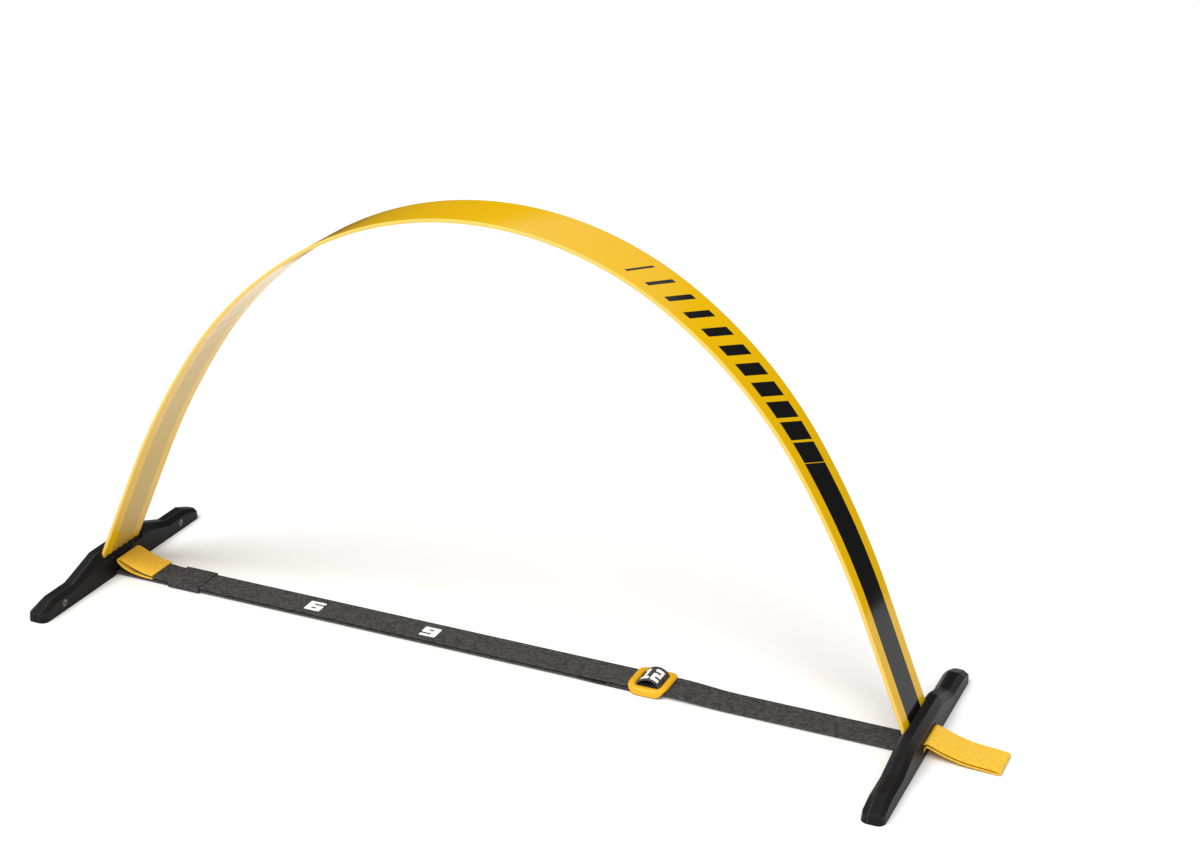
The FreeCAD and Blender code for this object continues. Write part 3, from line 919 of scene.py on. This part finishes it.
class HURDLE_OT_hardware(bpy.types.Operator):
    """Gives the pivot rods, the screws and the strap bar their finishes."""

    bl_idname = "hurdle.hardware"
    bl_label = "Finish hardware"

    def execute(self, context):
        steel = material_of("black_steel")
        materials = {"left_strap_bar": steel}
        for side in ("left", "right"):
            materials[f"{side}_pivot_rod"] = material_of("rod_plastic")
            materials[f"{side}_foot_front_screw"] = steel
            materials[f"{side}_foot_rear_screw"] = steel
        for node, material in materials.items():
            mesh = frame["nodes"][node].data
            mesh.materials.clear()
            mesh.materials.append(material)
        rod_fingers("left", -1)
        rod_fingers("right", 1)
        return {"FINISHED"}


# Straps and marks

def anchor_route():
    """Corners of the lower strap: round the left foot's bar, along the floor and round the slider's bar."""
    bar_x = (bar_low.x + bar_high.x) / 2 - arch_x
    bar_z = (bar_low.z + bar_high.z) / 2
    slider = buckle_x - arch_x
    return [
        (bar_x + bar_reach, bar_z - bar_reach / 2), (bar_x + bar_reach, bar_z + bar_reach),
        (bar_x - bar_reach, bar_z + bar_reach), (bar_x - bar_reach, foot_level),
        (anchor_drop[0], foot_level), (anchor_drop[1], floor_level),
        (slider + anchor_fold_half, floor_level), (slider + anchor_fold_half, wrap_level),
        (slider - anchor_fold_half, wrap_level),
        (slider + anchor_fold_end[0], foot_level), (slider + anchor_fold_end[1], foot_level),
    ]


def adjusting_route():
    """Corners of the upper strap, from the pull tab to the mouth of the right foot."""
    return [
        pull_strap_end, pull_strap_bend, (pull_tab_start, strap_level),
        (strap_drop[0], strap_level), (strap_drop[1], foot_level),
        (foot_middle + foot_rise[0], foot_level), (foot_middle + foot_rise[1], foot_rise_level),
    ]


def grid_lines(shares, length):
    """Places of the lines of a grid about its middle."""
    lines = [-length / 2]
    for share in shares:
        lines.append(lines[-1] + share * length)
    return lines


def figure_shape(figure, x, y, width, height):
    """Flat mesh of a figure made of grid cells, with rounded outer corners."""
    columns = grid_lines(mark_column_shares, width)
    rows = grid_lines(mark_row_shares, height)
    shape = bmesh.new()
    for row, cells in enumerate(reversed(mark_cells[figure])):
        for column, cell in enumerate(cells):
            if cell == "#":
                sides = ((0, 0), (1, 0), (1, 1), (0, 1))
                places = [(x + columns[column + right], y + rows[row + above], 0) for right, above in sides]
                shape.faces.new([shape.verts.new(place) for place in places])
    bmesh.ops.remove_doubles(shape, verts=shape.verts, dist=weld_distance)
    corners = [vertex for vertex in shape.verts if len(vertex.link_faces) == 1]
    bmesh.ops.bevel(
        shape, geom=corners, offset=mark_corner, segments=mark_corner_steps, profile=round_profile,
        affect="VERTICES")
    return shape


def strap_surface(x):
    """Height of the upper strap's upper face, which is the same at every X."""
    return strap_top


def mark_piece(name, figure, x, width, height, surface):
    """Closed film of ink in the shape of a figure, laid on a surface that gives a height for each X."""
    shape = figure_shape(figure, x, mark_y, width, height)
    for index in range(1, mark_slices):
        place = Vector((x - width / 2 + width * index / mark_slices, 0, 0))
        geometry = shape.verts[:] + shape.edges[:] + shape.faces[:]
        bmesh.ops.bisect_plane(shape, geom=geometry, plane_co=place, plane_no=along_axis)
    for vertex in shape.verts:
        vertex.co.z = surface(vertex.co.x) + mark_ink
    bmesh.ops.recalc_face_normals(shape, faces=shape.faces)
    bmesh.ops.solidify(shape, geom=shape.faces[:], thickness=mark_ink)
    bmesh.ops.recalc_face_normals(shape, faces=shape.faces)
    return piece_from_shape(name, shape, material_of("mark_paint"))


class HURDLE_OT_straps(bpy.types.Operator):
    """Builds the two straps and the height marks on the upper one."""

    bl_idname = "hurdle.straps"
    bl_label = "Build straps"

    def execute(self, context):
        cloth = material_of("strap_cloth")
        anchor = ribbon("anchor_webbing", anchor_route(), fold_reach, strap_half_width, cloth)
        place_piece(anchor, "left_foot", "black_webbing", "anchor_strap")
        adjusting = ribbon("adjusting_webbing", adjusting_route(), strap_bend_reach, strap_half_width, cloth)
        place_piece(adjusting, "right_foot", "black_webbing", "adjusting_strap")
        for figure, x in mark_places.items():
            mark = mark_piece(
                f"mark_{figure}", figure, arch_x + x, sizes().mark_width, sizes().mark_height, strap_surface)
            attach(mark, "right_foot")
        return {"FINISHED"}


# Buckle

def hump_height_at(x):
    """Height of the strap's middle where it rises over the slider's bar."""
    share = min(1, abs(x - buckle_x) / hump_half_length)
    return strap_level + sizes().hump_height * (1 - share ** 2) ** hump_roundness


def hump_surface(x):
    """Height of the hump's upper face."""
    return hump_height_at(x) + webbing_thickness / 2


def superellipse(turn, half_length, half_width):
    """Point on a rounded rectangle with bowed sides."""
    power = 2 / slider_squareness
    x = math.copysign(abs(math.cos(turn)) ** power, math.cos(turn))
    y = math.copysign(abs(math.sin(turn)) ** power, math.sin(turn))
    return Vector((half_length * x, half_width * y, 0))


def slider_section(half, step, low, high):
    """Section of the slider's frame as reach and height: a rounded top, and a step at the strap's edge."""
    section = []
    for index in range(slider_crown_steps + 1):
        turn = math.pi * index / slider_crown_steps
        section.append((half * math.cos(turn), high - slider_crown * (1 - math.sin(turn))))
    return section + [
        (-half, slider_rail_low), (step, slider_rail_low), (step, low),
        (half - slider_chamfer, low), (half, low + slider_chamfer),
    ]


def slider_frame():
    """Points and faces of the slider's rounded frame: rails over the strap, and cheeks down beside it."""
    window = strap_half_width + slider_clearance
    turns = [full_turn * index / slider_stations for index in range(slider_stations)]
    loop = [superellipse(turn, slider_half_length, slider_half_width) for turn in turns]
    points = []
    for place, outward in zip(loop, route_normals(loop, up, closed=True)):
        side = abs(place.y / slider_half_width) ** slider_squareness
        half = (slider_rail + (slider_cheek - slider_rail) * side) / 2
        wall = max(0, abs(place.y + outward.y * half) - window)
        drop = (slider_rail_low - slider_cheek_floor) * min(1, wall / (buckle_high.y - window))
        high = buckle_high.z - slider_cheek_drop * side
        step = half - slider_chamfer
        if wall > 0:
            step = min(step, (window - abs(place.y)) / abs(outward.y))
        for reach, height in slider_section(half, step, slider_rail_low - drop, high):
            points.append(place + outward * reach + Vector((buckle_x, 0, height)))
    return points, sweep_faces(slider_stations, len(points) // slider_stations, True)


def slider_bar():
    """Points and faces of the bar between the cheeks, under the strap."""
    outline = [
        (buckle_x - slider_bar_half, slider_bar_low), (buckle_x + slider_bar_half, slider_bar_low),
        (buckle_x + slider_bar_half, slider_bar_high), (buckle_x - slider_bar_half, slider_bar_high),
    ]
    points = [Vector((x, y, z)) for y in (-slider_half_width, slider_half_width) for x, z in outline]
    return points, sweep_faces(2, len(outline), False)


class HURDLE_OT_buckle(bpy.types.Operator):
    """Builds the slider, the strap's hump in its window and the height mark on the hump."""

    bl_idname = "hurdle.buckle"
    bl_label = "Build buckle"

    def execute(self, context):
        points, faces = join_parts([slider_frame(), slider_bar()])
        slider = new_piece("slider", points, faces, material_of("buckle_plastic"))
        place_piece(slider, "left_foot", "buckle", "buckle")
        self.build_hump()
        for figure, side in (("1", -1), ("2", 1)):
            x = buckle_x + side * (slider_mark_width + slider_mark_gap) / 2
            mark = mark_piece(
                f"mark_12_{figure}", figure, x, slider_mark_width, slider_mark_height, hump_surface)
            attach(mark, "right_foot")
            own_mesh(mark)
        return {"FINISHED"}

    def build_hump(self):
        turns = [math.pi * index / hump_steps for index in range(hump_steps + 1)]
        places = [buckle_x - hump_half_length * math.cos(turn) for turn in turns]
        route = [Vector((x, 0, hump_height_at(x))) for x in places]
        section = rounded_section(hump_half_width, webbing_thickness / 2, webbing_edge, webbing_columns)
        hump = band("strap_hump", route, across_axis, section, material_of("strap_cloth"))
        place_piece(hump, "left_foot", "black_webbing")


# Keeper

def segment_distance(x, y, start, end):
    """Distance of a place from a straight line between two others, seen from above."""
    run = end - start
    place = Vector((x, y, start.z))
    share = max(0, min(1, (place - start).dot(run) / run.length_squared))
    return (place - start - run * share).length


def keeper_seams(level):
    """Seams sewn on the keeper, as a box with two diagonals at a level."""
    half_length = keeper_half.x - keeper_seam_inset
    half_width = keeper_half.y - keeper_seam_inset
    corners = [Vector((keeper_x + x * half_length, y * half_width, level)) for x, y in corner_signs]
    sides = [(corners[index - 1], corners[index]) for index in range(len(corners))]
    return sides + [(corners[0], corners[2]), (corners[1], corners[3])]


def keeper_sleeve():
    """Flat sleeve of webbing with seams pressed into its top."""
    wall = webbing_thickness / 2
    outline = rounded_section(keeper_half.y - wall, keeper_half.z - wall, keeper_corner, keeper_columns)
    route = [Vector((keeper_x, y, keeper_low.z + keeper_half.z + z)) for y, z in outline]
    section = rounded_section(keeper_half.x, wall, webbing_edge, keeper_columns)
    sleeve = band("keeper_sleeve", route, along_axis, section, material_of("strap_cloth"), closed=True)
    seams = keeper_seams(keeper_high.z)
    for vertex in sleeve.data.vertices:
        if vertex.co.z > keeper_high.z - wall:
            nearest = min(segment_distance(vertex.co.x, vertex.co.y, start, end) for start, end in seams)
            vertex.co.z -= keeper_seam_depth * math.exp(-(nearest / keeper_seam_width) ** 2)
    return sleeve


class HURDLE_OT_keeper(bpy.types.Operator):
    """Builds the keeper sleeve and its seams."""

    bl_idname = "hurdle.keeper"
    bl_label = "Build keeper"

    def execute(self, context):
        place_piece(keeper_sleeve(), "right_foot", "black_webbing", "strap_keeper")
        rows = keeper_seams(keeper_high.z - keeper_seam_depth)
        seams = stitches("keeper_stitches", rows, material_of("black_thread"))
        place_piece(seams, "right_foot", "black_webbing")
        return {"FINISHED"}


# Tabs

class HURDLE_OT_tabs(bpy.types.Operator):
    """Builds the pull tab and the foot tab of folded yellow webbing."""

    bl_idname = "hurdle.tabs"
    bl_label = "Build tabs"

    def execute(self, context):
        cloth = material_of("tab_cloth")
        pull = ribbon("pull_tab_webbing", pull_tab_route, pull_tab_ease, tab_half_width, cloth)
        place_piece(pull, "right_foot", "yellow_webbing", "pull_tab")
        foot_route = [(foot_middle + x, z) for x, z in foot_tab_route]
        foot = ribbon("foot_tab_webbing", foot_route, foot_tab_ease, tab_half_width, cloth)
        place_piece(foot, "right_foot", "yellow_webbing", "foot_tab")
        seam_half = tab_half_width - pull_seam_inset
        ends = [Vector((arch_x + pull_seam[0], side * seam_half, pull_seam[1])) for side in (-1, 1)]
        seam = stitches("pull_tab_stitches", [ends], material_of("yellow_thread"))
        place_piece(seam, "right_foot", "yellow_webbing")
        return {"FINISHED"}


# Studio

def add_floor():
    """Plain pale floor with a faint unevenness."""
    half = floor_size / 2
    corners = [(x * half, y * half, 0) for x, y in corner_signs]
    floor = new_piece("floor", corners, [(0, 1, 2, 3)], material_of("floor_finish"))


def add_card():
    """Dark card behind the part, seen only in its glossy faces, so that they don't turn pale."""
    half = card_width / 2
    corners = [(x, card_y, z) for x, z in ((-half, 0), (half, 0), (half, card_height), (-half, card_height))]
    card = new_piece("dark_card", corners, [(0, 1, 2, 3)], material_of("card_cloth"))
    card.visible_camera = False
    card.visible_diffuse = False
    card.visible_shadow = False


def set_world():
    """White surroundings that light the part softly and look plain white where they are seen."""
    world = bpy.data.worlds.new("studio")
    world.use_nodes = True
    tree = world.node_tree
    rays = tree.nodes.new("ShaderNodeLightPath").outputs
    seen = calculate(tree, "MAXIMUM", rays["Is Camera Ray"], rays["Is Glossy Ray"])
    seen = calculate(tree, "MAXIMUM", seen, rays["Is Transmission Ray"])
    strength = calculate(tree, "MULTIPLY_ADD", seen, 1 - ambient_strength, ambient_strength)
    background = tree.nodes["Background"]
    background.inputs["Color"].default_value = (1, 1, 1, 1)
    connect(tree, strength, background.inputs["Strength"])
    bpy.context.scene.world = world


def add_light(light, place):
    """Lamp at a place, aimed at the part."""
    lamp = bpy.data.objects.new(light.name, light)
    lamp.location = place
    lamp.rotation_euler = (Vector(light_aim) - Vector(place)).to_track_quat("-Z", "Y").to_euler()
    bpy.context.scene.collection.objects.link(lamp)


def add_lights():
    """Broad soft key light from the front left, and a weaker fill from the front right."""
    key = bpy.data.lights.new("key_light", "SUN")
    key.angle = math.radians(sun_spread)
    key.energy = sun_strength
    add_light(key, sun_place)
    fill = bpy.data.lights.new("fill_light", "AREA")
    fill.size = fill_size
    fill.energy = fill_power
    add_light(fill, fill_place)


def add_camera():
    """Camera at the photo's place, with the picture's middle shifted as the photo was cut."""
    lens = bpy.data.cameras.new("photo_camera")
    lens.sensor_width = sensor_width
    lens.lens = lens_pixels / picture_size[0] * sensor_width
    lens.shift_x = (picture_size[0] / 2 - middle_pixel[0]) / picture_size[0]
    lens.shift_y = (middle_pixel[1] - picture_size[1] / 2) / picture_size[0]
    camera = bpy.data.objects.new("photo_camera", lens)
    camera.location = camera_place
    camera.rotation_euler = (quarter_turn - math.radians(camera_elevation), 0, math.radians(camera_azimuth))
    bpy.context.scene.collection.objects.link(camera)
    bpy.context.scene.camera = camera


class HURDLE_OT_stage(bpy.types.Operator):
    """Builds the pale floor, the white surroundings, the dark card, the soft lights and the camera."""

    bl_idname = "hurdle.stage"
    bl_label = "Build studio"

    def execute(self, context):
        add_floor()
        set_world()
        add_card()
        add_lights()
        add_camera()
        context.scene.view_settings.view_transform = "Standard"
        return {"FINISHED"}


class HURDLE_PT_panel(bpy.types.Panel):
    """Sizes, colours and building steps of the hurdle."""

    bl_idname = "HURDLE_PT_panel"
    bl_label = "Speed hurdle"
    bl_space_type = "VIEW_3D"
    bl_region_type = "UI"
    bl_category = "Hurdle"

    def draw(self, context):
        for group in (context.scene.hurdle_sizes, context.scene.hurdle_colours):
            for name in group.__annotations__:
                self.layout.prop(group, name)
        for operator in operators:
            self.layout.operator(operator.bl_idname)


operators = (
    HURDLE_OT_strip, HURDLE_OT_feet, HURDLE_OT_hardware, HURDLE_OT_straps,
    HURDLE_OT_buckle, HURDLE_OT_keeper, HURDLE_OT_tabs, HURDLE_OT_stage,
)
classes = (HurdleSizes, HurdleColours) + operators + (HURDLE_PT_panel,)


def register():
    """Adds the classes and the scene's settings."""
    for item in classes:
        bpy.utils.register_class(item)
    bpy.types.Scene.hurdle_sizes = bpy.props.PointerProperty(type=HurdleSizes)
    bpy.types.Scene.hurdle_colours = bpy.props.PointerProperty(type=HurdleColours)


def unregister():
    """Takes the scene's settings and the classes away again."""
    del bpy.types.Scene.hurdle_colours
    del bpy.types.Scene.hurdle_sizes
    for item in reversed(classes):
        bpy.utils.unregister_class(item)


def main():
    """Builds everything in order."""
    register()
    bpy.ops.hurdle.strip()
    bpy.ops.hurdle.feet()
    bpy.ops.hurdle.hardware()
    bpy.ops.hurdle.straps()
    bpy.ops.hurdle.buckle()
    bpy.ops.hurdle.keeper()
    bpy.ops.hurdle.tabs()
    bpy.ops.hurdle.stage()


if __name__ == "__main__":
    main()
